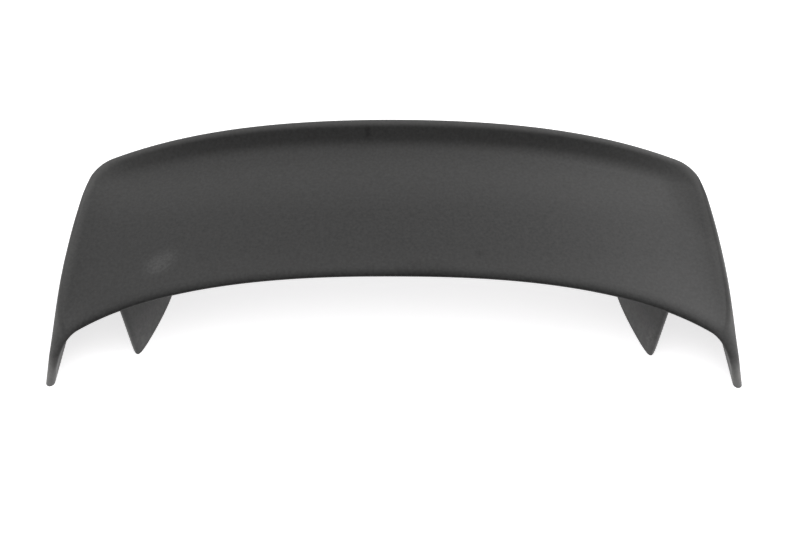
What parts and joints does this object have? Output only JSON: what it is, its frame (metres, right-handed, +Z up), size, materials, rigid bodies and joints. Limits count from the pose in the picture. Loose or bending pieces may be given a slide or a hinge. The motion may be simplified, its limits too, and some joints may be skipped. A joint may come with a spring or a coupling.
{
  "type": "trunk spoiler",
  "caption": "Arched rear spoiler for a car's boot lid, with a turned-up trailing lip, end blades folded down at both ends, and streamlined pedestals under the wing.",
  "frame": {"origin": "middle of the part's box, on the plane that its feet stand on", "axes": "+X across the car, along the wing's span; +Y towards the trailing lip, so the leading edge is at -Y; +Z up"},
  "size_m": [1.2564, 0.4761, 0.2085],
  "materials": {
    "primer_black": "matt black primer on moulded plastic",
    "brass": "turned brass"
  },
  "bodies": {
    "root": {"spoiler_body": "primer_black", "threaded_inserts": "brass"}
  },
  "joints": []
}
